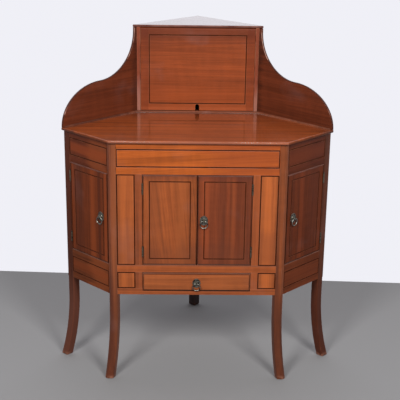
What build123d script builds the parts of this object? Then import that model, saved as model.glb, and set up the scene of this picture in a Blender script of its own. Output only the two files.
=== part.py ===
from build123d import *
import math
import os

os.makedirs("parts", exist_ok=True)

# Corner washstand. The plan is a square with its front corner cut off: two wall sides meet at the back,
# two canted sides leave them squarely, and the front closes the plan. Millimetres, +Z up, the floor at z = 0.

# Driving sizes of the carcass
front_width = 576
side_depth = 234
top_height = 850
carcass_underside = 308
cant_angle = 45

# Levels on the front, read up from the underside, as lengths or shares of the carcass height
bottom_rail_low_height = 13
bottom_rail_height = 23
block_height_share = 0.1109
middle_rail_height = 26
door_opening_height_share = 0.5996

# Boards and rails
rail_thickness = 18.4
infill_thickness = 12
back_board_thickness = 12
back_board_inset = 3
floor_thickness = 10
bottom_board_thickness = 6
partition_thickness = 12
tongue_depth = 5
tongue_thickness = 4
tongue_face_inset = 4
tenon_length = 8
tenon_thickness = 7
tenon_shoulder = 6
tenon_face_inset = 5.7
floor_step = 6
base_lift = 0.5
partition_setback = 7.6

# Posts and their sabre legs
front_post_front_face = 20
front_post_side_face = 12
front_post_depth = 30
outer_post_width = 29
outer_post_depth = 29
back_post_side = 29
sabre_start_share = 0.779
sabre_splay = 33
front_splay_angle = 58
leg_round = 5
foot_ease = 3

# Main top
top_thickness = 10
top_overhang = 9.5
top_edge_round = 3.5

# Gallery and upper part
gallery_thickness = 8
gallery_sweep_radius = 156
gallery_lobe_height = 137
gallery_edge_round = 2.5
upper_half_width = 229
upper_underside_height = 304
upper_board_thickness = 8
upper_edge_round = 2.5
upper_front_setback = 2
upper_stile_face = 12.7
upper_stile_stop_width = 8
threshold_reach = 9
threshold_depth = 10
threshold_round = 2.5
bead_end_inset = 6
bead_size = 5

# Front openings
door_opening_share = 0.6333
front_stile_width = 24.2
front_door_thickness = 18
side_door_thickness = 18
door_gap = 1.8
meeting_gap = 2.4
door_back_gap = 0.4
stop_width = 8
stop_height = 12
stop_lap = 10
front_stop_half = 40
side_stop_low = 34
side_stop_high = 64

# Cockbead and stringing
bead_width = 3.2
bead_proud = 1.2
bead_depth = 5
string_width = 3.6
string_depth = 1
door_string_inset = 20.4
frieze_string_low_share = 0.233
frieze_string_high_share = 0.819
flap_string_side_inset = 29
flap_string_top_inset = 24

# Butt hinges
hinge_length = 36
hinge_inset = 49
knuckle_radius = 2.75
knuckle_forward = 1.2
hinge_pin_radius = 1.3
hinge_pin_clearance = 0.05
hinge_pin_head_height = 1.2
hinge_pin_head_radius = 2.2
leaf_thickness = 1.2
leaf_width = 14
leaf_gap = 0.3
knuckle_count = 5
knuckle_gap = 0.3
knuckle_relief = 0.35
screw_shank_radius = 1.2
screw_head_radius = 2.6
screw_length = 11
screw_fit = 0.02
screw_row_share = 0.62
screw_spread = 13

# Drawer
drawer_front_thickness = 18
drawer_side_gap = 1.6
drawer_top_gap = 1.5
drawer_bottom_gap = 2.5
drawer_side_thickness = 8
drawer_side_height = 50
drawer_back_clearance = 1.5
drawer_bottom_thickness = 5
drawer_bottom_lift = 6
drawer_lap = 12
drawer_back_inset = 4
drawer_groove_depth = 4
tail_count = 3
tail_end_share = 0.74
tail_root_share = 0.56
runner_width = 24
runner_clearance = 0.35
guide_gap = 1.2
runner_stop_thickness = 5
runner_stop_height = 18

# Flap
flap_thickness = 12
flap_side_gap = 0.8
flap_bottom_gap = 1
flap_top_gap = 1.5
flap_pin_radius = 2
flap_pin_length = 19
flap_pin_engagement = 4
flap_pin_clearance = 0.05
flap_pin_fit = 0.02
finger_hole_width = 14
finger_hole_height = 23

# Ring pulls
plate_half_width = 12.2
plate_half_height = 15
plate_lobe_radius = 2.2
plate_lobe_count = 14
plate_thickness = 2
plate_dome_radius = 8.5
plate_dome_height = 1.2
plate_dome_taper = 25
post_radius = 4
post_height = 9.5
ring_axis_height = 6
ring_wire_radius = 1.8
ring_radius = 12.4
eye_radius = 2.6
shank_radius = 2
shank_fit = 0.02
nut_radius = 5
nut_thickness = 3.5
nut_standoff = 2
front_pull_inset = 20.9
side_pull_inset = 33.2
door_pull_level_share = 0.505
drawer_pull_level_share = 0.43

# Loose details
glue_block_size = 12
glue_block_length = 40
glue_block_spread = 130
overrun = 5

# Worked-out sizes
cant = math.radians(cant_angle)
half_cant = math.radians(cant_angle / 2)
front_splay_turn = math.radians(-front_splay_angle)
outer_splay_turn = cant - math.pi / 4
front_half = front_width / 2
outer_half = front_half + side_depth * math.cos(cant)
body_depth = side_depth * math.sin(cant) + outer_half
wall_length = outer_half / math.cos(cant)
carcass_top = top_height - top_thickness
carcass_height = carcass_top - carcass_underside
door_opening_height = carcass_height * door_opening_height_share
door_opening_half = front_half * door_opening_share
sabre_start_height = carcass_underside * sabre_start_share
mitre_share = math.tan(half_cant)
foot_forward = -sabre_splay * math.sin(front_splay_turn)
front_y = foot_forward - (body_depth + foot_forward) / 2
wall_y = front_y + body_depth
block_low = carcass_underside + bottom_rail_height
block_high = block_low + carcass_height * block_height_share
door_low = block_high + middle_rail_height
door_high = door_low + door_opening_height
front_panel_half = front_half - front_post_front_face
front_stile_edge = door_opening_half + front_stile_width
side_low = front_post_side_face
side_high = side_depth - outer_post_width
gallery_tip = wall_length + top_overhang
upper_tip = upper_half_width / math.cos(cant)
lobe_width = gallery_tip - upper_tip - gallery_sweep_radius
upper_height = top_height + upper_underside_height
flap_front = body_depth - upper_half_width + upper_front_setback
flap_half = upper_half_width - upper_front_setback - gallery_thickness / math.cos(cant) - upper_stile_face
flap_low = top_height + bead_size + flap_bottom_gap
flap_high = upper_height - flap_top_gap

# Planes that the faces are drawn on: x runs along the face, y runs up, and the wood lies behind
right = math.cos(cant)
front_face = Plane(origin=(0, front_y, 0), x_dir=(1, 0, 0), z_dir=(0, -1, 0))
side_face = Plane(origin=(front_half, front_y, 0), x_dir=(right, right, 0), z_dir=(right, -right, 0))
wall_face = Plane(
    origin=(outer_half, front_y + side_depth * right, 0), x_dir=(-right, right, 0), z_dir=(right, right, 0)
)
flap_face = front_face.offset(-flap_front)


def write(part, name):
    """Labels a finished piece and writes it as a STEP file."""
    part.label = name
    export_step(part, f"parts/{name}.step")


def lay_board(face, low_x, high_x, low_z, high_z, thickness, depth=0, mode=Mode.ADD):
    """A square-edged board behind a face, its front surface at the given depth."""
    with BuildSketch(face.offset(-depth)) as outline:
        with Locations(((low_x + high_x) / 2, (low_z + high_z) / 2)):
            Rectangle(high_x - low_x, high_z - low_z)
    extrude(outline.sketch, amount=-thickness, mode=mode)


def lay_ring(face, low_x, high_x, low_z, high_z, width, thickness, depth=0, mode=Mode.ADD):
    """A rectangular frame of narrow strips behind a face, such as a stringing line or a bead."""
    with BuildSketch(face.offset(-depth)) as outline:
        with Locations(((low_x + high_x) / 2, (low_z + high_z) / 2)):
            Rectangle(high_x - low_x, high_z - low_z)
            Rectangle(high_x - low_x - 2 * width, high_z - low_z - 2 * width, mode=Mode.SUBTRACT)
    extrude(outline.sketch, amount=-thickness, mode=mode)


def raise_plan(points, low, high, mode=Mode.ADD):
    """A flat-topped solid over a plan outline, from one level to another."""
    with BuildSketch(Plane.XY.offset(low)) as outline:
        with BuildLine():
            Polyline(*points, close=True)
        make_face()
    extrude(outline.sketch, amount=high - low, mode=mode)


def mirrored(points):
    """A half plan on the right, closed by its mirror image on the left."""
    return points + [(-x, y) for x, y in reversed(points) if abs(x) > 0]


def on_front(along, inward):
    """Plan point measured along the front from its middle and inward from it."""
    return (along, front_y + inward)


def on_side(along, inward):
    """Plan point measured along the right side from the front corner and inward from it."""
    return (front_half + (along - inward) * right, front_y + (along + inward) * right)


def on_wall(along, inward):
    """Plan point measured along the right wall side from the back corner and inward from it."""
    return ((along - inward) * right, wall_y - (along + inward) * right)


def inset_plan(face_inset, wall_inset):
    """The carcass plan drawn in from its front and canted faces and from its wall faces."""
    return mirrored(
        [
            on_front(front_half - face_inset * mitre_share, face_inset),
            on_side(side_depth - wall_inset, face_inset),
            (0, wall_y - wall_inset / right),
        ]
    )


def wall_line_y(along_x, wall_inset):
    """World y of the line that lies a distance inside the right wall plane, at a given x."""
    return wall_y - wall_inset / right - along_x


def butt_planes(face, hinge_x, low_z, high_z):
    """Planes on a door's hinge axis, one at the middle of each butt: x points to the frame, y inward."""
    planes = []
    for level in (low_z + hinge_inset, high_z - hinge_inset):
        axis_point = face.from_local_coords((hinge_x, level, knuckle_forward))
        planes.append(Plane(origin=axis_point, x_dir=face.x_dir, z_dir=(0, 0, 1)))
    return planes


def leaf_screws(plane, side, fit=0):
    """The three countersunk screws of one leaf, side 1 for the frame and -1 for the door."""
    with BuildPart(plane) as screws:
        for level in (-screw_spread, 0, screw_spread):
            turn = (0, 90 * side, 0)
            head_place = Location((side * leaf_gap / 2, screw_row, level), turn)
            shank_place = Location((side * (leaf_gap / 2 + leaf_thickness), screw_row, level), turn)
            with Locations(head_place):
                Cone(screw_head_radius + fit, screw_shank_radius + fit, leaf_thickness, align=outwards)
            with Locations(shank_place):
                Cylinder(screw_shank_radius + fit, screw_length, align=outwards)
    return screws.part


def butt_leaf(plane, side):
    """One leaf of a butt with its knuckles, side 1 for the frame and -1 for the door."""
    first_knuckle = 0 if side > 0 else 1
    plate_x = side * (leaf_gap + leaf_thickness) / 2
    with BuildPart(plane) as leaf:
        with Locations((plate_x, (knuckle_clear + leaf_reach) / 2)):
            Box(leaf_thickness, leaf_reach - knuckle_clear, hinge_length)
        for index in range(first_knuckle, knuckle_count, 2):
            level = -hinge_length / 2 + knuckle_length / 2 + index * (knuckle_length + knuckle_gap)
            with Locations((0, 0, level)):
                Cylinder(knuckle_radius, knuckle_length)
            with Locations((plate_x, knuckle_clear / 2, level)):
                Box(leaf_thickness, knuckle_clear, knuckle_length)
        Cylinder(hinge_pin_radius + hinge_pin_clearance, hinge_length + overrun, mode=Mode.SUBTRACT)
        add(leaf_screws(plane, side, screw_fit), mode=Mode.SUBTRACT)
    return leaf.part


def butt_pin(plane):
    """The pin of a butt with a small head at each end."""
    with BuildPart(plane) as pin:
        Cylinder(hinge_pin_radius, hinge_length + 2 * hinge_pin_head_height)
        for end in (-1, 1):
            with Locations((0, 0, end * (hinge_length + hinge_pin_head_height) / 2)):
                Cylinder(hinge_pin_head_radius, hinge_pin_head_height)
    return pin.part


def cut_butts(planes, side):
    """Sinks the butts of one door into the wood of the piece being built."""
    for plane in planes:
        with BuildPart(plane, mode=Mode.PRIVATE) as seat:
            Cylinder(knuckle_radius + knuckle_relief, knuckle_seat_length)
        add(seat.part, mode=Mode.SUBTRACT)
        add(butt_leaf(plane, side), mode=Mode.SUBTRACT)
        add(leaf_screws(plane, side, screw_fit), mode=Mode.SUBTRACT)


def pull_plane(face, along, level):
    """Plane on a face at the middle of a pull: x along the face, y up, z outward."""
    return Plane(origin=face.from_local_coords((along, level, 0)), x_dir=face.x_dir, z_dir=face.z_dir)


def pull_plate(plane, wood_thickness):
    """Oval lobed backplate cast with its eyed post and shank, and the nut that holds it behind the wood."""
    lobe_turns = [2 * math.pi * index / plate_lobe_count for index in range(plate_lobe_count)]
    lobe_places = [(plate_half_width * math.cos(turn), plate_half_height * math.sin(turn)) for turn in lobe_turns]
    with BuildPart() as plate:
        with BuildSketch(plane):
            Ellipse(plate_half_width, plate_half_height)
            with Locations(*lobe_places):
                Circle(plate_lobe_radius)
        extrude(amount=plate_thickness)
        with BuildSketch(plane.offset(plate_thickness)):
            Circle(plate_dome_radius)
        extrude(amount=plate_dome_height, taper=plate_dome_taper)
        with BuildSketch(plane.offset(plate_thickness)):
            Circle(post_radius)
        extrude(amount=post_height)
        eye_plane = Plane(plane.from_local_coords((0, 0, ring_axis_level)), x_dir=plane.z_dir, z_dir=plane.x_dir)
        with BuildSketch(eye_plane):
            Circle(eye_radius)
        extrude(amount=post_radius + overrun, both=True, mode=Mode.SUBTRACT)
        with BuildSketch(plane):
            Circle(shank_radius)
        extrude(amount=-(wood_thickness + nut_thickness + nut_standoff))
        with BuildSketch(plane.offset(-wood_thickness)):
            RegularPolygon(nut_radius, 6)
            Circle(shank_radius + shank_fit, mode=Mode.SUBTRACT)
        extrude(amount=-nut_thickness)
    return plate.part


def pull_ring(plane):
    """The free ring, hanging through the eye of its post."""
    centre = plane.from_local_coords((0, -ring_radius, ring_axis_level))
    with BuildPart(Plane(origin=centre, x_dir=plane.x_dir, z_dir=plane.z_dir)) as ring:
        Torus(ring_radius, ring_wire_radius)
    return ring.part


def cut_pull(plane, wood_thickness):
    """Bores a piece for the shank of its pull."""
    with BuildSketch(plane) as bore:
        Circle(shank_radius + shank_fit)
    extrude(bore.sketch, amount=-(wood_thickness + overrun), mode=Mode.SUBTRACT)


# Sizes that the fittings share
outwards = (Align.CENTER, Align.CENTER, Align.MIN)
leaf_reach = leaf_width + knuckle_forward
knuckle_clear = knuckle_radius + knuckle_gap
knuckle_length = (hinge_length - (knuckle_count - 1) * knuckle_gap) / knuckle_count
knuckle_seat_length = hinge_length + 2 * (hinge_pin_head_height + knuckle_gap)
screw_row = knuckle_forward + leaf_width * screw_row_share
ring_axis_level = plate_thickness + ring_axis_height
front_hinge_x = door_opening_half - door_gap / 2
side_hinge_x = side_high - door_gap / 2
front_butts = butt_planes(front_face, front_hinge_x, door_low, door_high)
side_butts = butt_planes(side_face, side_hinge_x, door_low, door_high)
wall_inset = back_board_inset + back_board_thickness
floor_high = door_low - floor_step
floor_low = floor_high - floor_thickness
base_low = carcass_underside + base_lift
base_high = base_low + bottom_board_thickness
string_post_inset = string_depth * mitre_share
partition_near = door_opening_half + partition_setback
partition_far = partition_near + partition_thickness
runner_end = body_depth - wall_inset / right - partition_near - drawer_back_clearance
drawer_length = runner_end - runner_stop_thickness - door_back_gap

# Dark stringing let into the fixed faces
with BuildPart() as frame_stringing:
    string_half = front_panel_half - string_post_inset
    frieze_height = carcass_top - door_high
    frieze_low = door_high + frieze_height * frieze_string_low_share
    frieze_high = door_high + frieze_height * frieze_string_high_share
    lay_ring(front_face, -string_half, string_half, frieze_low, frieze_high, string_width, string_depth)
    for low, high in ((door_low, door_high), (block_low, block_high)):
        lay_ring(front_face, front_stile_edge, string_half, low, high, string_width, string_depth)
        lay_ring(front_face, -string_half, -front_stile_edge, low, high, string_width, string_depth)
    with BuildPart(mode=Mode.PRIVATE) as side_strings:
        side_string_low = side_low + string_post_inset
        for low, high in ((frieze_low, frieze_high), (block_low, block_high)):
            lay_ring(side_face, side_string_low, side_high, low, high, string_width, string_depth)
    add(side_strings.part)
    mirror(side_strings.part, about=Plane.YZ)
write(frame_stringing.part, "frame_stringing")


def write_pair(part, name):
    """Writes a piece of the right side and its mirror image on the left."""
    write(part, f"{name}_right")
    with BuildPart() as opposite:
        mirror(part, about=Plane.YZ)
    write(opposite.part, f"{name}_left")


def both_sides(part):
    """Adds a piece of the right side and its mirror image."""
    add(part)
    mirror(part, about=Plane.YZ)


def sabre_leg(points, arris, splay_turn):
    """The leg below a post: its section with rounded arrises, straight at first and then swept outward."""
    outward = (math.cos(splay_turn), math.sin(splay_turn))
    centre = (arris[0] + outward[0] * sabre_radius, arris[1] + outward[1] * sabre_radius, sabre_start_height)
    with BuildSketch(Plane.XY.offset(sabre_start_height)) as section:
        with BuildLine():
            Polyline(*points, close=True)
        make_face()
        fillet(section.vertices(), leg_round)
    extrude(section.sketch, amount=carcass_underside - sabre_start_height)
    sweep_axis = Axis(centre, (outward[1], -outward[0], 0))
    revolve(section.sketch, axis=sweep_axis, revolution_arc=sabre_sweep)
    split(bisect_by=Plane.XY, keep=Keep.TOP)


def front_rail(low, high):
    """A rail between the front posts with a stub tenon at each end."""
    slant = rail_thickness * mitre_share
    tenon_half = front_panel_half - slant / 2 + tenon_length
    inner_face = tenon_face_inset + tenon_thickness
    raise_plan(mirrored([on_front(front_panel_half, 0), on_front(front_panel_half - slant, rail_thickness)]), low, high)
    tenon_plan = mirrored([on_front(tenon_half, tenon_face_inset), on_front(tenon_half, inner_face)])
    raise_plan(tenon_plan, low + tenon_shoulder, high - tenon_shoulder)


def side_rail(low, high):
    """A rail between the front post and the outer post of the right side, with its stub tenons."""
    slant = rail_thickness * mitre_share
    tenon_low = side_low + slant / 2 - tenon_length
    tenon_high = side_high + tenon_length
    near_end = [on_side(side_low, 0), on_side(side_low + slant, rail_thickness)]
    far_end = [on_side(side_high, rail_thickness), on_side(side_high, 0)]
    raise_plan(near_end + far_end, low, high)
    with BuildSketch(side_face.offset(-tenon_face_inset)) as tenon:
        with Locations(((tenon_low + tenon_high) / 2, (low + high) / 2)):
            Rectangle(tenon_high - tenon_low, high - low - 2 * tenon_shoulder)
    extrude(tenon.sketch, amount=-tenon_thickness)


def cut_post_corners(low, high):
    """Notches a board round the five posts."""
    raise_plan(front_post_plan, low, high, mode=Mode.SUBTRACT)
    raise_plan(outer_post_plan, low, high, mode=Mode.SUBTRACT)
    raise_plan([(-x, y) for x, y in front_post_plan], low, high, mode=Mode.SUBTRACT)
    raise_plan([(-x, y) for x, y in outer_post_plan], low, high, mode=Mode.SUBTRACT)
    raise_plan(back_post_plan, low, high, mode=Mode.SUBTRACT)


# Plans of the posts
sabre_radius = (sabre_start_height**2 + sabre_splay**2) / (2 * sabre_splay)
sabre_sweep = math.degrees(math.asin((sabre_start_height + overrun) / sabre_radius))
front_post_turn = math.pi / 2 + half_cant
post_front_return = front_post_depth - front_post_front_face * math.sin(half_cant)
post_side_return = front_post_depth - front_post_side_face * math.sin(half_cant)
front_arris = on_front(front_half, 0)
front_land = on_front(front_panel_half, 0)
side_land = on_side(front_post_side_face, 0)
front_post_plan = [
    front_arris,
    side_land,
    (
        side_land[0] + post_side_return * math.cos(front_post_turn),
        side_land[1] + post_side_return * math.sin(front_post_turn),
    ),
    (
        front_land[0] + post_front_return * math.cos(front_post_turn),
        front_land[1] + post_front_return * math.sin(front_post_turn),
    ),
    front_land,
]
outer_post_plan = [
    on_side(side_high, 0),
    on_side(side_depth, 0),
    on_side(side_depth, outer_post_depth),
    on_side(side_high, outer_post_depth),
]
back_post_plan = mirrored([on_wall(back_post_side, back_post_side), on_wall(back_post_side, 0), on_wall(0, 0)])

# Cupboard floor, notched round the posts and tongued into the rails and back boards
with BuildPart() as cupboard_floor:
    raise_plan(inset_plan(rail_thickness - tongue_depth, wall_inset - tongue_depth), floor_low, floor_high)
    cut_post_corners(floor_low - overrun, floor_high + overrun)
write(cupboard_floor.part, "cupboard_floor")

# Thin board that closes the underside
with BuildPart() as bottom_board:
    raise_plan(inset_plan(rail_thickness, wall_inset), base_low, base_high)
    cut_post_corners(base_low - overrun, base_high + overrun)
write(bottom_board.part, "bottom_board")

# Back boards, tongued into the outer posts and the back post
with BuildPart() as back_board:
    board_low_x = outer_post_depth - tongue_depth
    board_high_x = wall_length - back_post_side + tongue_depth
    lay_board(
        wall_face, board_low_x, board_high_x, base_low, carcass_top, back_board_thickness, depth=back_board_inset
    )
    add(cupboard_floor.part, mode=Mode.SUBTRACT)
write_pair(back_board.part, "back_board")

# Upright stiles beside the doors and the drawer, tenoned into the rails
with BuildPart() as right_stiles:
    for low, high in ((door_low, door_high), (block_low, block_high)):
        lay_board(front_face, door_opening_half, front_stile_edge, low, high, rail_thickness)
        lay_board(
            front_face,
            door_opening_half + tenon_shoulder,
            front_stile_edge - tenon_shoulder,
            low - tenon_length,
            high + tenon_length,
            tenon_thickness,
            depth=tenon_face_inset,
        )
    cut_butts(front_butts, 1)

# Flat panels between those stiles and the posts, tongued along both upright edges
with BuildPart() as right_infill:
    for low, high in ((door_low, door_high), (block_low, block_high)):
        tongue_back = tongue_face_inset + tongue_thickness
        infill_plan = [
            on_front(front_stile_edge, 0),
            on_front(front_panel_half, 0),
            on_front(front_panel_half - infill_thickness * mitre_share, infill_thickness),
            on_front(front_stile_edge, infill_thickness),
        ]
        tongue_plan = [
            on_front(front_stile_edge - tongue_depth, tongue_face_inset),
            on_front(front_panel_half + tongue_depth - tongue_face_inset * mitre_share, tongue_face_inset),
            on_front(front_panel_half + tongue_depth - tongue_back * mitre_share, tongue_back),
            on_front(front_stile_edge - tongue_depth, tongue_back),
        ]
        raise_plan(infill_plan, low, high)
        raise_plan(tongue_plan, low, high)
    add(frame_stringing.part, mode=Mode.SUBTRACT)

with BuildPart() as front_infill_panels:
    both_sides(right_infill.part)
write(front_infill_panels.part, "front_infill_panels")

with BuildPart() as front_stiles:
    both_sides(right_stiles.part)
    add(front_infill_panels.part, mode=Mode.SUBTRACT)
write(front_stiles.part, "front_stiles")

# Front rails: the frieze rail over the doors, the rail over the drawer, and the notched bottom rail
with BuildPart() as front_top_rail:
    front_rail(door_high, carcass_top)
    add(frame_stringing.part, mode=Mode.SUBTRACT)
    add(front_stiles.part, mode=Mode.SUBTRACT)
write(front_top_rail.part, "front_top_rail")

with BuildPart() as front_middle_rail:
    front_rail(block_high, door_low)
    add(front_stiles.part, mode=Mode.SUBTRACT)
    add(cupboard_floor.part, mode=Mode.SUBTRACT)
write(front_middle_rail.part, "front_middle_rail")

with BuildPart() as front_bottom_rail:
    front_rail(carcass_underside, block_low)
    drawer_opening_low = carcass_underside + bottom_rail_low_height
    lay_board(
        front_face,
        -door_opening_half,
        door_opening_half,
        drawer_opening_low,
        block_low + overrun,
        rail_thickness + 2 * overrun,
        depth=-overrun,
        mode=Mode.SUBTRACT,
    )
    add(front_stiles.part, mode=Mode.SUBTRACT)
write(front_bottom_rail.part, "front_bottom_rail")

# Side rails: the frieze rail over each side door and the deep panel below it
with BuildPart() as side_top_rail:
    side_rail(door_high, carcass_top)
    add(frame_stringing.part, mode=Mode.SUBTRACT)
write_pair(side_top_rail.part, "side_top_rail")

with BuildPart() as side_lower_panel:
    side_rail(carcass_underside, door_low)
    add(frame_stringing.part, mode=Mode.SUBTRACT)
    add(cupboard_floor.part, mode=Mode.SUBTRACT)
write_pair(side_lower_panel.part, "side_lower_panel")

# Front posts that run down into sabre legs
with BuildPart() as front_post:
    raise_plan(front_post_plan, carcass_underside, carcass_top)
    sabre_leg(front_post_plan, front_arris, front_splay_turn)
    fillet(front_post.edges().group_by(Axis.Z)[0], foot_ease)
    for rail in (front_top_rail, front_middle_rail, front_bottom_rail, side_top_rail, side_lower_panel):
        add(rail.part, mode=Mode.SUBTRACT)
    add(front_infill_panels.part, mode=Mode.SUBTRACT)
write_pair(front_post.part, "front_post")

# Outer posts beside the walls, with sabre legs that splay out along the width
with BuildPart() as outer_post:
    raise_plan(outer_post_plan, carcass_underside, carcass_top)
    sabre_leg(outer_post_plan, on_side(side_depth, 0), outer_splay_turn)
    fillet(outer_post.edges().group_by(Axis.Z)[0], foot_ease)
    for board in (side_top_rail, side_lower_panel, back_board):
        add(board.part, mode=Mode.SUBTRACT)
    cut_butts(side_butts, 1)
write_pair(outer_post.part, "outer_post")

# Straight back post in the corner of the room
with BuildPart() as back_post:
    raise_plan(back_post_plan, 0, carcass_top)
    fillet(back_post.edges().group_by(Axis.Z)[0], foot_ease)
    add(back_board.part, mode=Mode.SUBTRACT)
    with BuildPart(mode=Mode.PRIVATE) as left_board:
        mirror(back_board.part, about=Plane.YZ)
    add(left_board.part, mode=Mode.SUBTRACT)
write(back_post.part, "back_post")

# Partitions between the middle cupboard and the side cupboards
with BuildPart() as partitions:
    with BuildPart(mode=Mode.PRIVATE) as right_partition:
        partition_plan = [
            on_front(partition_near, rail_thickness),
            on_front(partition_far, rail_thickness),
            (partition_far, wall_line_y(partition_far, wall_inset)),
            (partition_near, wall_line_y(partition_near, wall_inset)),
        ]
        raise_plan(partition_plan, floor_high, carcass_top)
    both_sides(right_partition.part)
write(partitions.part, "partitions")

# Main top with its rounded front and side edges
with BuildPart() as main_top:
    raise_plan(inset_plan(-top_overhang, 0), carcass_top, top_height)
    level_edges = main_top.edges().filter_by(Axis.Z, reverse=True)
    moulded_edges = level_edges.filter_by(lambda edge: edge.center().Y < front_y + side_depth * right)
    fillet(moulded_edges, top_edge_round)
write(main_top.part, "main_top")

# Shaped galleries along both walls, mitred together at the back
with BuildPart() as gallery:
    with BuildSketch(wall_face) as gallery_outline:
        with BuildLine():
            lobe_x = wall_length - gallery_tip + lobe_width
            sweep_level = top_height + gallery_lobe_height + gallery_sweep_radius
            Polyline(
                (-top_overhang, top_height),
                (wall_length, top_height),
                (wall_length, upper_height),
                (wall_length - upper_tip, upper_height),
                (wall_length - upper_tip, sweep_level),
            )
            CenterArc((lobe_x, sweep_level), gallery_sweep_radius, 0, -90)
            EllipticalCenterArc((lobe_x, top_height), lobe_width, gallery_lobe_height, start_angle=90, arc_size=90)
        make_face()
    extrude(amount=-gallery_thickness)
    split(bisect_by=Plane.YZ, keep=Keep.TOP)
write_pair(gallery.part, "gallery")

# Triangular board over the upper cupboard
with BuildPart() as upper_board:
    upper_plan = [
        (upper_half_width, wall_y - upper_half_width),
        (0, wall_y),
        (-upper_half_width, wall_y - upper_half_width),
    ]
    raise_plan(upper_plan, upper_height, upper_height + upper_board_thickness)
    upper_edges = upper_board.edges().filter_by(Axis.X)
    fillet(upper_edges, upper_edge_round)
write(upper_board.part, "upper_board")

# Flap pins and the rebated stiles they turn in
flap_top_level = flap_high - flap_thickness / 2
flap_pin_low_x = flap_half + flap_pin_engagement - flap_pin_length
with BuildPart() as flap_pins:
    with BuildPart(mode=Mode.PRIVATE) as right_flap_pin:
        with BuildSketch(Plane.YZ.offset(flap_pin_low_x)):
            with Locations((front_y + flap_front + flap_thickness / 2, flap_top_level)):
                Circle(flap_pin_radius)
        extrude(amount=flap_pin_length)
    both_sides(right_flap_pin.part)
write(flap_pins.part, "flap_pins")

with BuildPart() as upper_stiles:
    with BuildPart(mode=Mode.PRIVATE) as right_upper_stile:
        stile_far = flap_half + upper_stile_face
        stop_near = flap_half - upper_stile_stop_width
        stop_front = flap_front + flap_thickness + door_back_gap
        stile_plan = [
            on_front(flap_half, flap_front),
            on_front(stile_far, flap_front),
            on_front(stop_near, flap_front + stile_far - stop_near),
            on_front(stop_near, stop_front),
            on_front(flap_half, stop_front),
        ]
        raise_plan(stile_plan, top_height, upper_height)
        with BuildSketch(Plane.YZ.offset(flap_half)):
            with Locations((front_y + flap_front + flap_thickness / 2, flap_top_level)):
                Circle(flap_pin_radius + flap_pin_clearance)
        extrude(amount=flap_pin_engagement + flap_pin_clearance, mode=Mode.SUBTRACT)
    both_sides(right_upper_stile.part)
write(upper_stiles.part, "upper_stiles")

# Flap that lifts on its pins, with an arched finger hole in its lower edge
flap_edge = flap_half - flap_side_gap
with BuildPart() as flap_stringing:
    lay_ring(
        flap_face,
        flap_string_side_inset - flap_edge,
        flap_edge - flap_string_side_inset,
        flap_low + flap_string_top_inset,
        flap_high - flap_string_top_inset,
        string_width,
        string_depth,
    )
write(flap_stringing.part, "flap_stringing")

with BuildPart() as flap_board:
    with BuildSketch(Plane.YZ.offset(-flap_edge)):
        with Locations((front_y + flap_front, flap_low)):
            Rectangle(flap_thickness, flap_top_level - flap_low, align=(Align.MIN, Align.MIN))
        with Locations((front_y + flap_front + flap_thickness / 2, flap_top_level)):
            Circle(flap_thickness / 2)
    extrude(amount=2 * flap_edge)
    with BuildSketch(flap_face.offset(overrun)):
        arch_radius = finger_hole_width / 2
        arch_level = flap_low + finger_hole_height - arch_radius
        with Locations((0, arch_level)):
            Circle(arch_radius)
            Rectangle(finger_hole_width, finger_hole_height, align=(Align.CENTER, Align.MAX))
    extrude(amount=-(flap_thickness + 2 * overrun), mode=Mode.SUBTRACT)
    add(flap_stringing.part, mode=Mode.SUBTRACT)
    for end in (-1, 1):
        with BuildSketch(Plane.YZ.offset(end * flap_pin_low_x)):
            with Locations((front_y + flap_front + flap_thickness / 2, flap_top_level)):
                Circle(flap_pin_radius + flap_pin_fit)
        extrude(amount=end * flap_pin_length, mode=Mode.SUBTRACT)
write(flap_board.part, "flap_board")

# Threshold strip under the flap and quarter-round beads along the gallery feet
with BuildPart() as foot_beads:
    threshold_front = flap_front - threshold_reach
    gallery_line = front_y + flap_front + flap_half + upper_stile_face
    threshold_plan = [
        (gallery_line - front_y - threshold_front, front_y + threshold_front),
        (gallery_line - front_y - flap_front, front_y + flap_front),
        on_front(flap_half, flap_front),
        on_front(flap_half, flap_front + threshold_depth),
    ]
    raise_plan(mirrored(threshold_plan), top_height, top_height + bead_size)
    threshold_arris = foot_beads.edges().filter_by(Axis.X).group_by(Axis.Y)[0].sort_by(Axis.Z)[-1]
    fillet(threshold_arris, threshold_round)
    with BuildPart(mode=Mode.PRIVATE) as right_foot_bead:
        bead_end = wall_face.from_local_coords((bead_end_inset - top_overhang, top_height, -gallery_thickness))
        with BuildSketch(Plane(origin=bead_end, x_dir=(-right, -right, 0), z_dir=(-right, right, 0))):
            Circle(bead_size)
            Rectangle(bead_size, bead_size, align=(Align.MIN, Align.MIN), mode=Mode.INTERSECT)
        extrude(amount=wall_length)
        split(bisect_by=Plane(origin=on_front(0, threshold_front), z_dir=(0, -1, 0)), keep=Keep.TOP)
    both_sides(right_foot_bead.part)
write(foot_beads.part, "foot_beads")

# Butt hinge leaves on the frame with their screws, and the pins
with BuildPart() as frame_hinge_leaves:
    with BuildPart(mode=Mode.PRIVATE) as right_frame_leaves:
        for plane in front_butts + side_butts:
            add(butt_leaf(plane, 1))
            add(leaf_screws(plane, 1))
    both_sides(right_frame_leaves.part)
write(frame_hinge_leaves.part, "frame_hinge_leaves")

with BuildPart() as hinge_pins:
    with BuildPart(mode=Mode.PRIVATE) as right_pins:
        for plane in front_butts + side_butts:
            add(butt_pin(plane))
    both_sides(right_pins.part)
write(hinge_pins.part, "hinge_pins")

# Butt hinge leaves that travel with the doors
for door_name, planes in (("front_door", front_butts), ("side_door", side_butts)):
    with BuildPart() as door_leaves:
        for plane in planes:
            add(butt_leaf(plane, -1))
            add(leaf_screws(plane, -1))
    write_pair(door_leaves.part, f"{door_name}_hinge_leaves")

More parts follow.
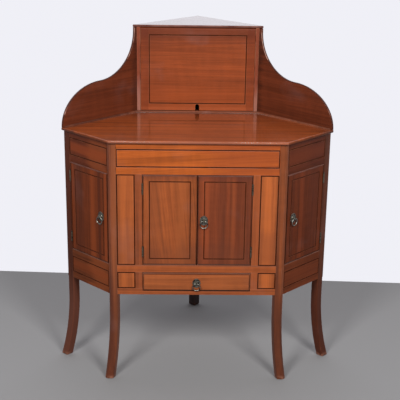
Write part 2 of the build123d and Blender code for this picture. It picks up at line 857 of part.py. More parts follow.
# Cockbead and stringing of the doors, a raised edge strip and a flush line within it
leaf_low = door_low + door_gap
leaf_high = door_high - door_gap
front_door_near = meeting_gap / 2
front_door_far = door_opening_half - door_gap
side_door_near = side_low + door_gap
side_door_far = side_high - door_gap
with BuildPart() as plain_front_trim:
    lay_ring(
        front_face,
        front_door_near,
        front_door_far,
        leaf_low,
        leaf_high,
        bead_width,
        bead_proud + bead_depth,
        depth=-bead_proud,
    )
    lay_ring(
        front_face,
        front_door_near + door_string_inset,
        front_door_far - door_string_inset,
        leaf_low + door_string_inset,
        leaf_high - door_string_inset,
        string_width,
        string_depth,
    )
    cut_butts(front_butts, -1)

with BuildPart() as side_door_trim:
    lay_ring(
        side_face,
        side_door_near,
        side_door_far,
        leaf_low,
        leaf_high,
        bead_width,
        bead_proud + bead_depth,
        depth=-bead_proud,
    )
    lay_ring(
        side_face,
        side_door_near + door_string_inset,
        side_door_far - door_string_inset,
        leaf_low + door_string_inset,
        leaf_high - door_string_inset,
        string_width,
        string_depth,
    )
    post_side_wedge = [
        on_side(side_door_near, 0),
        on_side(side_door_near + bead_depth * mitre_share, bead_depth),
        on_side(side_low - bead_depth, bead_depth),
        on_side(side_low - bead_depth, 0),
    ]
    raise_plan(post_side_wedge, leaf_low - overrun, leaf_high + overrun, mode=Mode.SUBTRACT)
    cut_butts(side_butts, -1)
write_pair(side_door_trim.part, "side_door_trim")

# Planes at the middle of the right-hand pulls
door_pull_level = door_low + door_opening_height * door_pull_level_share
drawer_low = drawer_opening_low + drawer_bottom_gap
drawer_high = block_high - drawer_top_gap
drawer_half = door_opening_half - drawer_side_gap
drawer_pull_level = drawer_low + (drawer_high - drawer_low) * drawer_pull_level_share
front_door_pull = pull_plane(front_face, front_door_near + front_pull_inset, door_pull_level)
side_door_pull = pull_plane(side_face, side_door_near + side_pull_inset, door_pull_level)
drawer_pull = pull_plane(front_face, 0, drawer_pull_level)

# Door boards; only the right one of the two front doors carries a pull
with BuildPart() as plain_front_door:
    lay_board(front_face, front_door_near, front_door_far, leaf_low, leaf_high, front_door_thickness)
    add(plain_front_trim.part, mode=Mode.SUBTRACT)
    cut_butts(front_butts, -1)

with BuildPart() as front_door_right_board:
    add(plain_front_door.part)
    cut_pull(front_door_pull, front_door_thickness)
write(front_door_right_board.part, "front_door_right_board")

with BuildPart() as front_door_left_board:
    mirror(plain_front_door.part, about=Plane.YZ)
write(front_door_left_board.part, "front_door_left_board")

# Trim of the front doors, bored under the pull on the right one
with BuildPart() as front_door_trim_right:
    add(plain_front_trim.part)
    cut_pull(front_door_pull, front_door_thickness)
write(front_door_trim_right.part, "front_door_trim_right")

with BuildPart() as front_door_trim_left:
    mirror(plain_front_trim.part, about=Plane.YZ)
write(front_door_trim_left.part, "front_door_trim_left")

with BuildPart() as side_door_board:
    side_door_plan = [
        on_side(side_door_near, 0),
        on_side(side_door_near + side_door_thickness * mitre_share, side_door_thickness),
        on_side(side_door_far, side_door_thickness),
        on_side(side_door_far, 0),
    ]
    raise_plan(side_door_plan, leaf_low, leaf_high)
    add(side_door_trim.part, mode=Mode.SUBTRACT)
    cut_butts(side_butts, -1)
    cut_pull(side_door_pull, side_door_thickness)
write_pair(side_door_board.part, "side_door_board")

# Stops that the closed doors rest on, under the top rails and on the cupboard floor
with BuildPart() as door_stops:
    for low, high in ((door_high - stop_lap, door_high + tenon_length), (floor_high, floor_high + stop_height)):
        lay_board(front_face, -front_stop_half, front_stop_half, low, high, stop_width, depth=rail_thickness)
        with BuildPart(mode=Mode.PRIVATE) as right_stop:
            lay_board(side_face, side_stop_low, side_stop_high, low, high, stop_width, depth=rail_thickness)
        both_sides(right_stop.part)
write(door_stops.part, "door_stops")

# Glue blocks under the main top
with BuildPart() as glue_blocks:
    block_low_level = carcass_top - glue_block_size
    half_block = glue_block_length / 2
    for middle in (-glue_block_spread, 0, glue_block_spread):
        lay_board(
            front_face,
            middle - half_block,
            middle + half_block,
            block_low_level,
            carcass_top,
            glue_block_size,
            depth=rail_thickness,
        )
    with BuildPart(mode=Mode.PRIVATE) as right_block:
        block_middle = (side_low + side_high) / 2
        lay_board(
            side_face,
            block_middle - half_block,
            block_middle + half_block,
            block_low_level,
            carcass_top,
            glue_block_size,
            depth=rail_thickness,
        )
    both_sides(right_block.part)
write(glue_blocks.part, "glue_blocks")

# Drawer cockbead, sides, back and bottom
side_outer = drawer_half
side_inner = drawer_half - drawer_side_thickness
side_top = drawer_low + drawer_side_height
tail_front = drawer_front_thickness - drawer_lap
drawer_back_end = drawer_length - drawer_back_inset
drawer_back_start = drawer_back_end - drawer_side_thickness
drawer_bottom_low = drawer_low + drawer_bottom_lift
drawer_bottom_high = drawer_bottom_low + drawer_bottom_thickness
with BuildPart() as drawer_cockbead:
    lay_ring(
        front_face,
        -drawer_half,
        drawer_half,
        drawer_low,
        drawer_high,
        bead_width,
        bead_proud + bead_depth,
        depth=-bead_proud,
    )
write(drawer_cockbead.part, "drawer_cockbead")

with BuildPart() as drawer_bottom:
    bottom_half = side_inner + drawer_groove_depth
    bottom_plan = mirrored(
        [
            on_front(bottom_half, drawer_front_thickness - drawer_groove_depth),
            on_front(bottom_half, drawer_length),
        ]
    )
    raise_plan(bottom_plan, drawer_bottom_low, drawer_bottom_high)
write(drawer_bottom.part, "drawer_bottom")

with BuildPart() as drawer_back:
    back_half = side_inner + drawer_groove_depth
    back_plan = mirrored([on_front(back_half, drawer_back_start), on_front(back_half, drawer_back_end)])
    raise_plan(back_plan, drawer_bottom_high, side_top)
write(drawer_back.part, "drawer_back")

with BuildPart() as drawer_sides:
    with BuildPart(mode=Mode.PRIVATE) as right_drawer_side:
        tail_pitch = drawer_side_height / tail_count
        with BuildSketch(Plane.YZ.offset(side_inner)):
            with Locations((front_y + drawer_front_thickness, drawer_low)):
                side_run = drawer_length - drawer_front_thickness
                Rectangle(side_run, drawer_side_height, align=(Align.MIN, Align.MIN))
            for index in range(tail_count):
                middle = drawer_low + tail_pitch * (index + 1 / 2)
                root = tail_pitch * tail_root_share / 2
                tip = tail_pitch * tail_end_share / 2
                with BuildLine():
                    Polyline(
                        (front_y + drawer_front_thickness, middle - root),
                        (front_y + tail_front, middle - tip),
                        (front_y + tail_front, middle + tip),
                        (front_y + drawer_front_thickness, middle + root),
                        close=True,
                    )
                make_face()
        extrude(amount=drawer_side_thickness)
    both_sides(right_drawer_side.part)
    add(drawer_bottom.part, mode=Mode.SUBTRACT)
    add(drawer_back.part, mode=Mode.SUBTRACT)
write(drawer_sides.part, "drawer_sides")

# Drawer front with sockets for the tails of the sides
with BuildPart() as drawer_front:
    lay_board(front_face, -drawer_half, drawer_half, drawer_low, drawer_high, drawer_front_thickness)
    add(drawer_cockbead.part, mode=Mode.SUBTRACT)
    add(drawer_sides.part, mode=Mode.SUBTRACT)
    add(drawer_bottom.part, mode=Mode.SUBTRACT)
    cut_pull(drawer_pull, drawer_front_thickness)
write(drawer_front.part, "drawer_front")

# Runners with side guides and back stops for the drawer
with BuildPart() as drawer_runners:
    with BuildPart(mode=Mode.PRIVATE) as right_runner:
        runner_top = drawer_low - runner_clearance
        guide_near = side_outer + guide_gap
        runner_near = partition_near - runner_width
        runner_plan = [
            on_front(runner_near, rail_thickness),
            on_front(partition_near, rail_thickness),
            on_front(partition_near, runner_end),
            on_front(runner_near, runner_end),
        ]
        guide_plan = [
            on_front(guide_near, rail_thickness),
            on_front(partition_near, rail_thickness),
            on_front(partition_near, runner_end),
            on_front(guide_near, runner_end),
        ]
        stop_plan = [
            on_front(runner_near, runner_end - runner_stop_thickness),
            on_front(partition_near, runner_end - runner_stop_thickness),
            on_front(partition_near, runner_end),
            on_front(runner_near, runner_end),
        ]
        raise_plan(runner_plan, base_high, runner_top)
        raise_plan(guide_plan, base_high, floor_low)
        raise_plan(stop_plan, base_high, runner_top + runner_stop_height)
    both_sides(right_runner.part)
write(drawer_runners.part, "drawer_runners")

# Ring pulls: backplates with their posts and nuts, and the free rings
write(pull_plate(front_door_pull, front_door_thickness), "front_door_right_pull_plate")
write(pull_ring(front_door_pull), "front_door_right_pull_ring")
write(pull_plate(drawer_pull, drawer_front_thickness), "drawer_pull_plate")
write(pull_ring(drawer_pull), "drawer_pull_ring")
write_pair(pull_plate(side_door_pull, side_door_thickness), "side_door_pull_plate")
write_pair(pull_ring(side_door_pull), "side_door_pull_ring")
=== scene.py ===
import math

import bmesh
import bpy
from mathutils import Matrix, Vector


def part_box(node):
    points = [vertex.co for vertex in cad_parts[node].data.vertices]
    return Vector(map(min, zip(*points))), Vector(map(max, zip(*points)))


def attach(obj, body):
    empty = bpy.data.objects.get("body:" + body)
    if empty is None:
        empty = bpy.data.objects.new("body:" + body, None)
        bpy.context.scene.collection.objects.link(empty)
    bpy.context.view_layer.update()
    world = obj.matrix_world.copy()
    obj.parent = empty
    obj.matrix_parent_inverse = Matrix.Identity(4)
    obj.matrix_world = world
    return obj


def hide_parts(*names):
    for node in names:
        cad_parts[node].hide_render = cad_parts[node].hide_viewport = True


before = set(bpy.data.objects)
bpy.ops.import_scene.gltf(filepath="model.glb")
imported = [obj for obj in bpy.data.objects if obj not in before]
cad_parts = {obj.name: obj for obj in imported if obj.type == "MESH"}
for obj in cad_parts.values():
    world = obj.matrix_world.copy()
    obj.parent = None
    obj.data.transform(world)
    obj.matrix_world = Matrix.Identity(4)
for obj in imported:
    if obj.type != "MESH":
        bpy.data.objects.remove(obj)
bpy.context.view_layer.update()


# The room: a plain pale floor that ends a little behind the piece, a white surround that is bright
# behind and below and dim on the side of the camera, and two soft lamps. The camera looks down from
# left of the middle.
class Value:
    """A socket of a node tree; arithmetic on it adds Math nodes."""

    def __init__(self, tree, socket=None):
        self.tree = tree
        self.socket = socket

    def node(self, kind, settings, inputs, output=0):
        """Adds any node: settings first, then values or links by socket name or number."""
        made = self.tree.nodes.new(kind)
        for name, value in settings.items():
            setattr(made, name, value)
        for name, value in inputs.items():
            if isinstance(value, Value):
                self.tree.links.new(value.socket, made.inputs[name])
            else:
                made.inputs[name].default_value = value
        return Value(self.tree, made.outputs[output])

    def reckon(self, operation, *numbers):
        """A Math node on one or two numbers."""
        return self.node("ShaderNodeMath", {"operation": operation}, dict(enumerate(numbers)))

    def __add__(self, other):
        return self.reckon("ADD", self, other)

    __radd__ = __add__

    def __sub__(self, other):
        return self.reckon("SUBTRACT", self, other)

    def __rsub__(self, other):
        return self.reckon("SUBTRACT", other, self)

    def __mul__(self, other):
        return self.reckon("MULTIPLY", self, other)

    __rmul__ = __mul__

    def at_least(self, other):
        return self.reckon("MAXIMUM", self, other)

    def without_sign(self):
        return self.reckon("ABSOLUTE", self)

    def above(self, low, high):
        """0 below low, 1 above high and a smooth rise between."""
        settings = {"interpolation_type": "SMOOTHSTEP"}
        inputs = {"Value": self, "From Min": low, "From Max": high}
        return self.node("ShaderNodeMapRange", settings, inputs)

    def part(self, axis):
        """One coordinate of this place."""
        return self.node("ShaderNodeSeparateXYZ", {}, {"Vector": self}, output=axis)

    def noise(self, stretch, detail=4.0, warp=0.0):
        """Noise on this place, stretched by the three scales."""
        place = self.node("ShaderNodeMapping", {}, {"Vector": self, "Scale": stretch})
        inputs = {"Vector": place, "Scale": 1.0, "Detail": detail, "Distortion": warp}
        return self.node("ShaderNodeTexNoise", {}, inputs)

    def mix(self, share, first, second):
        """Two colours, with this share of the second."""
        settings = {"data_type": "RGBA", "clamp_factor": True}
        return self.node("ShaderNodeMix", settings, {0: share, 6: first, 7: second}, output=2)

    def blend(self, share, other):
        """This colour with a share of another colour."""
        return self.mix(share, self, other)


across, depth, height = 0, 1, 2
eye = Vector((-0.0451, -3.4329, 1.7170))
yaw, pitch, roll = 0.017, -0.328, 0.014
focal_pixels, image_width, sensor_width = 1005.7, 400, 36
forward = Vector(
    (math.sin(yaw) * math.cos(pitch), math.cos(yaw) * math.cos(pitch), math.sin(pitch))
)
level_right = Vector((math.cos(yaw), -math.sin(yaw), 0))
level_up = level_right.cross(forward)
camera_right = math.cos(roll) * level_right + math.sin(roll) * level_up
camera_up = math.cos(roll) * level_up - math.sin(roll) * level_right
camera = bpy.data.objects.new("camera", bpy.data.cameras.new("camera"))
camera.data.sensor_width = sensor_width
camera.data.lens = sensor_width * focal_pixels / image_width
camera_turn = Matrix((camera_right, camera_up, -forward)).transposed().to_4x4()
camera.matrix_world = Matrix.Translation(eye) @ camera_turn
bpy.context.scene.collection.objects.link(camera)
bpy.context.scene.camera = camera
bpy.context.scene.view_settings.view_transform = "Standard"

dim_side, bright_side, overhead_gain = 0.10, 0.825, 0.16
fade_behind, fade_below, fade_overhead = (0.0, 0.5), (0.05, 0.13), (0.0, 0.12)
room_tint = (0.94, 0.94, 1.0, 1)
room = bpy.data.worlds.new("room")
bpy.context.scene.world = room
room.use_nodes = True
room_tree = room.node_tree
surround = room_tree.nodes["Background"]
outlook = Value(room_tree).node("ShaderNodeTexCoord", {}, {}, output="Generated")
behind = outlook.part(depth).above(*fade_behind)
below = (0.0 - outlook.part(height)).above(*fade_below)
overhead = behind * outlook.part(height).above(*fade_overhead)
strength = behind.at_least(below) * bright_side + overhead * overhead_gain + dim_side
surround.inputs["Color"].default_value = room_tint
room_tree.links.new(strength.socket, surround.inputs["Strength"])

lamp_width, lamp_power, lamp_aim = 0.9, 80, Vector((0, 0, 0.65))
for lamp_name, spot in (("softbox_left", (-1.5, -3.1, 2.7)), ("softbox_right", (1.4, -3.1, 2.7))):
    lamp = bpy.data.objects.new(lamp_name, bpy.data.lights.new(lamp_name, "AREA"))
    lamp.data.size = lamp_width
    lamp.data.energy = lamp_power
    lamp.location = spot
    lamp.rotation_euler = (lamp_aim - Vector(spot)).to_track_quat("-Z", "Y").to_euler()
    bpy.context.scene.collection.objects.link(lamp)

floor_reach, floor_back_edge = 4.0, 0.58
floor_turn = Matrix.Rotation(math.radians(-3.4), 3, "Z")
floor_colour, floor_roughness = (0.30, 0.295, 0.295, 1), 0.9
floor_mesh = bmesh.new()
bmesh.ops.create_grid(floor_mesh, x_segments=1, y_segments=1, size=floor_reach)
bmesh.ops.translate(floor_mesh, verts=floor_mesh.verts, vec=(0, floor_back_edge - floor_reach, 0))
bmesh.ops.rotate(floor_mesh, verts=floor_mesh.verts, cent=(0, 0, 0), matrix=floor_turn)
floor = bpy.data.objects.new("floor", bpy.data.meshes.new("floor"))
floor_mesh.to_mesh(floor.data)
floor_mesh.free()
bpy.context.scene.collection.objects.link(floor)
floor_paint = bpy.data.materials.new("pale_floor")
floor_paint.use_nodes = True
floor_shader = floor_paint.node_tree.nodes["Principled BSDF"]
floor_shader.inputs["Base Color"].default_value = floor_colour
floor_shader.inputs["Roughness"].default_value = floor_roughness
floor.data.materials.append(floor_paint)


# The five posts are red-brown mahogany from the top down to the floor, with the rails tenoned into
# them. The front and outer ones sweep out below the case as sabre legs; their arrises are rubbed pale
# and their feet are scuffed by shoes and brooms.
upright = (0, math.pi / 2, 0)
crosswise = (0, 0, 0)
along_right_side = (0, 0, -math.pi / 4)
along_left_side = (0, 0, math.pi / 4)


def shade(red, green, blue, gain=1.0):
    """A colour, from screen values to the linear ones the nodes use, brightened by a gain."""
    linear = []
    for channel in (red, green, blue):
        share = channel / 255
        value = share / 12.92 if share <= 0.04045 else ((share + 0.055) / 1.055) ** 2.4
        linear.append(gain * value)
    return (*linear, 1)


# The dark tone paints both grime and painted shade.
bloom_tone, grime_and_shade_tone = (176, 150, 150), (46, 22, 14)
dark_figure, pale_figure, deep_figure = 0.60, 1.50, 0.36
dust_height, chip_height = (0.002, 0.018), (0.10, 0.30)
strip_strength, strip_edge = 0.34, 0.0005


def wood_finish(
    name,
    grain,
    body,
    shift,
    gloss=0.36,
    coat=0.14,
    coat_roughness=0.14,
    coat_ior=1.5,
    specular=0.24,
    figure=0.5,
    lean=0.0,
    pores=1.0,
    relief=0.14,
    waviness=1.2,
    wear_and_highlight=0.5,
    rubbed_and_lit_tone=(176, 112, 80),
    rub_range=(0.34, 0.60),
    bloom=0.05,
    scuffs=0.0,
    side_strip=0.0,
    bands=(),
):
    """Polished wood: grain is the turn of its grain, body its middle tone in screen values.

    shift picks its own part of the figure. Each band is a soft streak of another tone, given by its
    axis, its middle, how far it reaches to each side, its strength and its tone.
    """
    material = bpy.data.materials.new(name)
    material.use_nodes = True
    tree = material.node_tree
    shader = tree.nodes["Principled BSDF"]
    fresh = Value(tree)
    place = fresh.node("ShaderNodeTexCoord", {}, {}, output="Object")
    leaning = (grain[0], grain[1] + lean, grain[2])
    moved = (shift, shift * 0.37, shift * 0.71)
    turning = {"Vector": place, "Rotation": leaning, "Location": moved}
    turned = place.node("ShaderNodeMapping", {}, turning)
    broad = turned.noise((0.8, 15, 15), detail=2.0, warp=0.4)
    flames = turned.noise((1.5, 46, 46), detail=3.0, warp=0.5)
    streaks = turned.noise((3, 130, 130), detail=5.0, warp=0.3)
    fibres = turned.noise((12, 560, 560), detail=3.0)
    pits = turned.noise((45, 1700, 1700), detail=1.0)
    ripple = turned.noise((46, 9, 9), detail=2.0)
    waves = turned.noise((6, 30, 30), detail=2.0)

    tone = broad.above(0.34, 0.66) * 0.26 + flames.above(0.36, 0.64) * 0.36
    tone = tone + streaks.above(0.40, 0.60) * 0.26 + ripple.above(0.3, 0.7) * 0.12
    lines = flames.above(0.54, 0.64) * figure + streaks.above(0.54, 0.66) * 0.45
    lines = lines + fibres.above(0.54, 0.74) * (0.25 * pores)
    deep = shade(body[0] * 0.98, body[1] * 0.86, body[2] * 0.80, deep_figure)
    colour = fresh.mix(tone, shade(*body, dark_figure), shade(*body, pale_figure))
    colour = colour.blend(lines * 0.5, deep)
    colour = colour.blend(pits.above(0.60, 0.70) * (0.25 * pores), deep)
    for axis, middle, reach, strength, tint in bands:
        offset = place.part(axis) + (flames - 0.5) * (reach * 1.6) - middle
        inside = 1.0 - offset.without_sign().above(reach * 0.35, reach)
        colour = colour.blend(inside * strength, shade(*tint))

    patches = place.noise((21, 21, 21), detail=5.0)
    hazy = place.noise((7, 7, 7), detail=3.0).above(0.56, 0.74) * bloom
    colour = colour.blend(hazy, shade(*bloom_tone))
    # The face mark paints rubbed wear and painted highlight above 0, and grime and painted shade
    # below 0.
    edge = fresh.node("ShaderNodeAttribute", {"attribute_name": "wear_light_and_shade"}, {}, output=2)
    rubbing_and_highlight = edge.at_least(0.0) * patches.above(*rub_range) * wear_and_highlight
    if scuffs:
        level = place.part(height)
        low_down = 1.0 - level.above(*dust_height)
        dusty = low_down * place.noise((60, 60, 60), detail=6.0).above(0.40, 0.62)
        chips = place.noise((70, 70, 40), detail=5.0).above(0.71, 0.74)
        chips = chips * (1.0 - level.above(*chip_height))
        rubbing_and_highlight = rubbing_and_highlight + dusty * scuffs + chips * 0.5
    if side_strip:
        aside = place.part(across).without_sign()
        strip = aside.above(side_strip - strip_edge, side_strip + strip_edge)
        strip_tone = shade(body[0] * 0.88, body[1] * 0.72, body[2] * 0.78, 0.6)
        colour = colour.blend(strip * strip_strength, strip_tone)
    colour = colour.blend(rubbing_and_highlight, shade(*rubbed_and_lit_tone))
    grime_and_shade = (0.0 - edge).at_least(0.0)
    colour = colour.blend(grime_and_shade, shade(*grime_and_shade_tone))
    tree.links.new(colour.socket, shader.inputs["Base Color"])

    roughness = patches * 0.14 + (gloss - 0.07) + rubbing_and_highlight * 0.25
    roughness = roughness + fibres * (0.06 * pores) + hazy * 0.3
    tree.links.new(roughness.socket, shader.inputs["Roughness"])
    film = (1.0 - edge.at_least(grime_and_shade).above(0.0, 0.4) * 0.9) * coat
    tree.links.new(film.socket, shader.inputs["Coat Weight"])
    shader.inputs["Coat Roughness"].default_value = coat_roughness
    shader.inputs["Coat IOR"].default_value = coat_ior
    shader.inputs["Specular IOR Level"].default_value = specular
    surface = fibres * 0.5 + pits * 0.6 + waves * waviness
    bumps = {"Height": surface, "Strength": relief, "Distance": 0.0006}
    tree.links.new(fresh.node("ShaderNodeBump", {}, bumps).socket, shader.inputs["Normal"])
    return material


same_point = 0.000002
sharp_edge, crease, rim_lean = math.radians(28), math.radians(50), 0.3


def soften(
    node,
    body,
    finish,
    arris=0.0009,
    shortest=0.012,
    edge_mark=1.0,
    rim_mark=0.0,
    outward=(0, -1, 0),
):
    """A merged copy of a CAD piece with its long sharp edges rounded.

    Faces are marked above 0 for wear and painted highlight and below 0 for grime and painted shade:
    edge_mark on the rounded edges, and rim_mark on the faces that stand square to the outward side.
    """
    mesh = bmesh.new()
    mesh.from_mesh(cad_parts[node].data)
    bmesh.ops.remove_doubles(mesh, verts=mesh.verts, dist=same_point)
    wear_light_and_shade = mesh.faces.layers.float.new("wear_light_and_shade")
    arrises = []
    for edge in mesh.edges:
        if len(edge.link_faces) == 2 and edge.is_convex and edge.calc_length() > shortest:
            if edge.calc_face_angle() > sharp_edge:
                arrises.append(edge)
    rounded = bmesh.ops.bevel(
        mesh,
        geom=arrises,
        offset=arris,
        offset_type="OFFSET",
        segments=2,
        profile=0.5,
        material=-1,
        affect="EDGES",
        clamp_overlap=False,
    )
    for face in mesh.faces:
        if abs(face.normal.dot(Vector(outward))) < rim_lean:
            face[wear_light_and_shade] = rim_mark
    for face in rounded["faces"]:
        face[wear_light_and_shade] = edge_mark
    for face in mesh.faces:
        face.smooth = True
    for edge in mesh.edges:
        if len(edge.link_faces) == 2 and edge.calc_face_angle() > crease:
            edge.smooth = False
    piece = bpy.data.objects.new(f"{node}_finished", bpy.data.meshes.new(f"{node}_finished"))
    mesh.to_mesh(piece.data)
    mesh.free()
    bpy.context.scene.collection.objects.link(piece)
    piece.data.materials.append(finish)
    shading = piece.modifiers.new("even_shading", "WEIGHTED_NORMAL")
    shading.keep_sharp = True
    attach(piece, body)
    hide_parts(node)
    return piece


dark_foot = (height, 0.0, 0.48, 0.5, (72, 35, 25))
inner_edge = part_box("front_infill_panels")[0][across]
post_tones = {
    "front_post_left": (
        (118, 60, 33), [(across, inner_edge, 0.016, 0.5, (164, 90, 50)), dark_foot]
    ),
    "front_post_right": ((132, 68, 35), [dark_foot, (height, 0.06, 0.20, 0.3, (58, 30, 22))]),
    "outer_post_left": ((80, 36, 19), [(height, 0.0, 0.36, 0.85, (106, 61, 46))]),
    "outer_post_right": ((90, 46, 28), [dark_foot]),
}
for index, (post, (tone, bands)) in enumerate(post_tones.items()):
    sheen = {"coat": 0.05, "specular": 0.12} if post.startswith("outer") else {}
    post_finish = wood_finish(
        f"{post}_mahogany",
        upright,
        tone,
        shift=0.3 * (index + 1),
        wear_and_highlight=0.22,
        scuffs=0.9,
        rubbed_and_lit_tone=(150, 100, 80),
        bands=bands,
        **sheen,
    )
    soften(post, "carcass", post_finish, arris=0.0020)
# The back post's darker tone is painted shade.
shaded_back_tone = (62, 42, 38)
back_post_finish = wood_finish(
    "back_post_mahogany", upright, shaded_back_tone, shift=0.9, wear_and_highlight=0.2, scuffs=0.15
)
soften("back_post", "carcass", back_post_finish, arris=0.0014)

# The rails of the front run across it, tenoned into the posts: the deep frieze rail over the doors is
# the palest and best figured board, with the rail over the drawer and the notched bottom rail in the
# same orange-brown mahogany.
middle_rail_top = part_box("front_middle_rail")[1][height]
drawer_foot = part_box("drawer_cockbead")[0][height]
rail_streak = (across, 0.17, 0.20, 0.5, (148, 66, 33))
door_shade = (height, middle_rail_top, 0.008, 0.5, (118, 70, 50))
drawer_shade = (height, drawer_foot, 0.003, 0.35, (92, 46, 28))
front_rails = {
    "front_top_rail": ((176, 86, 30), 0.06, 0.4, [rail_streak]),
    "front_middle_rail": ((176, 89, 42), 0.0, 0.2, [door_shade]),
    "front_bottom_rail": ((152, 77, 37), 0.0, 0.2, [drawer_shade]),
}
for index, (rail, (tone, lean, wear_and_highlight, bands)) in enumerate(front_rails.items()):
    rail_finish = wood_finish(
        f"{rail}_mahogany",
        crosswise,
        tone,
        shift=1.7 + 1.3 * index,
        figure=0.3,
        wear_and_highlight=wear_and_highlight,
        lean=lean,
        bands=bands,
        rubbed_and_lit_tone=(190, 138, 120),
        rub_range=(0.2, 0.5),
    )
    soften(rail, "carcass", rail_finish)

# Upright stiles flank the doors and the drawer, and flat panels with upright grain fill in beside the
# posts. All are mahogany: the stiles are tenoned into the rails, and the panels tongued into the
# stiles and the posts.
upright_boards = {
    "front_stiles": ((146, 74, 38), [(across, 0.205, 0.03, 0.3, (184, 94, 46))]),
    "front_infill_panels": (
        (162, 84, 40),
        [
            (across, -0.243, 0.013, 0.25, (212, 112, 52)),
            (across, 0.231, 0.022, 0.42, (210, 110, 50)),
            (height, 0.47, 0.09, 0.45, (142, 74, 42)),
        ],
    ),
}
for index, (board, (tone, bands)) in enumerate(upright_boards.items()):
    board_shift = 4.1 + 1.7 * index
    board_finish = wood_finish(
        f"{board}_mahogany", upright, tone, shift=board_shift, bands=bands
    )
    # Painted shade on the board edges that face into gaps.
    soften(board, "carcass", board_finish, rim_mark=-0.6)

# The canted sides have a frieze rail and a deep lower panel, both darker than the front, with their
# grain along the side. They are mahogany too, tenoned into the front and outer posts.
rail_low, rail_high = (corner[height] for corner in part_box("side_top_rail_left"))
panel_low, panel_high = (corner[height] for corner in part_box("side_lower_panel_left"))
rail_middle, panel_middle = (rail_low + rail_high) / 2, (panel_low + panel_high) / 2
rail_shade = (height, rail_high, 0.016, 0.45, (52, 26, 20))
# A pale line of dust and painted highlight along the top of the lower panel.
ledge_dust_and_highlight = (height, panel_high, 0.0018, 0.5, (150, 112, 100))
left_glow, right_glow = (144, 64, 28), (112, 50, 25)
left_end = (across, -0.330, 0.05, 0.45, (154, 78, 40))
right_end = (across, 0.340, 0.05, 0.15, (136, 66, 34))
for hand, grain, rail_tone, panel_tone, glow, end_glow in (
    ("left", along_left_side, (98, 44, 23), (104, 51, 25), left_glow, left_end),
    ("right", along_right_side, (90, 39, 20), (106, 50, 25), right_glow, right_end),
):
    rail_finish = wood_finish(
        f"side_rail_mahogany_{hand}",
        grain,
        rail_tone,
        shift=5.3,
        coat=0.0,
        specular=0.1,
        bands=[end_glow, (height, rail_middle, 0.024, 0.55, glow), rail_shade],
    )
    soften(f"side_top_rail_{hand}", "carcass", rail_finish)
    panel_finish = wood_finish(
        f"side_panel_mahogany_{hand}",
        grain,
        panel_tone,
        shift=5.9,
        coat=0.0,
        specular=0.1,
        wear_and_highlight=0.3,
        bands=[end_glow, (height, panel_middle, 0.03, 0.35, glow), ledge_dust_and_highlight],
    )
    soften(f"side_lower_panel_{hand}", "carcass", panel_finish)

# Thin lines of black-brown stained wood are laid in grooves in the frieze, the panels and the flap,
# and scraped flush with them.
line_tone, line_arris = (70, 29, 11), 0.00015
line_sheen = {
    "gloss": 0.55,
    "wear_and_highlight": 0.2,
    "coat": 0.0,
    "specular": 0.06,
    "bloom": 0.0,
    "rubbed_and_lit_tone": (120, 60, 34),
}
line_finish = wood_finish("dark_stringing", upright, line_tone, shift=6.1, **line_sheen)
soften("frame_stringing", "carcass", line_finish, arris=line_arris)
soften("flap_stringing", "flap", line_finish, arris=line_arris)

# Four doors hang on brass butts, each one mahogany board with upright grain. The right door of the
# front pair is darker than the left, and both side doors are darker still. A proud half-round bead
# edges each, with a dark line flush within it. Painted shade darkens the board and bead edges where
# they meet, the bead tops carry dust and painted highlight, and the top beads' upward faces stay lit.
left_board_bands = [
    (across, -0.052, 0.022, 0.4, (178, 94, 46)),
    (across, -0.140, 0.03, 0.35, (126, 66, 38)),
]
right_board_bands = [
    (across, 0.030, 0.016, 0.45, (160, 74, 37)),
    (across, 0.082, 0.018, 0.36, (74, 35, 20)),
    (across, 0.118, 0.010, 0.28, (166, 82, 40)),
    (across, 0.158, 0.030, 0.26, (78, 38, 22)),
    (across, 0.176, 0.016, 0.22, (92, 46, 32)),
]
left_side_bands = [
    (across, -0.351, 0.013, 0.5, (146, 68, 30)),
    (across, -0.327, 0.008, 0.5, (56, 26, 18)),
    (across, -0.303, 0.009, 0.4, (160, 76, 36)),
    (across, -0.400, 0.024, 0.4, (64, 32, 22)),
]
right_side_bands = [
    (across, 0.350, 0.012, 0.4, (138, 62, 30)),
    (across, 0.395, 0.026, 0.35, (60, 28, 20)),
    (across, 0.318, 0.010, 0.3, (64, 30, 20)),
]
ahead, left_ahead, right_ahead = (0, -1, 0), (-0.707, -0.707, 0), (0.707, -0.707, 0)
front_doors = {
    "front_door_left": ("front_door_left_board", "front_door_trim_left"),
    "front_door_right": ("front_door_right_board", "front_door_trim_right"),
}
side_doors = {
    "side_door_left": ("side_door_board_left", "side_door_trim_left"),
    "side_door_right": ("side_door_board_right", "side_door_trim_right"),
}
door_looks = {
    "front_door_left": ((150, 76, 35), 0.10, ahead, left_board_bands),
    "front_door_right": ((122, 56, 27), 0.0, ahead, right_board_bands),
    "side_door_left": ((112, 50, 21), 0.0, left_ahead, left_side_bands),
    "side_door_right": ((106, 47, 21), 0.0, right_ahead, right_side_bands),
}
door_line_finish = wood_finish("door_stringing", upright, (96, 42, 19), shift=6.7, **line_sheen)
line_distance, bead_width, upward = 0.010, 0.004, 0.4
board_arris, bead_arris = 0.0006, 0.0010
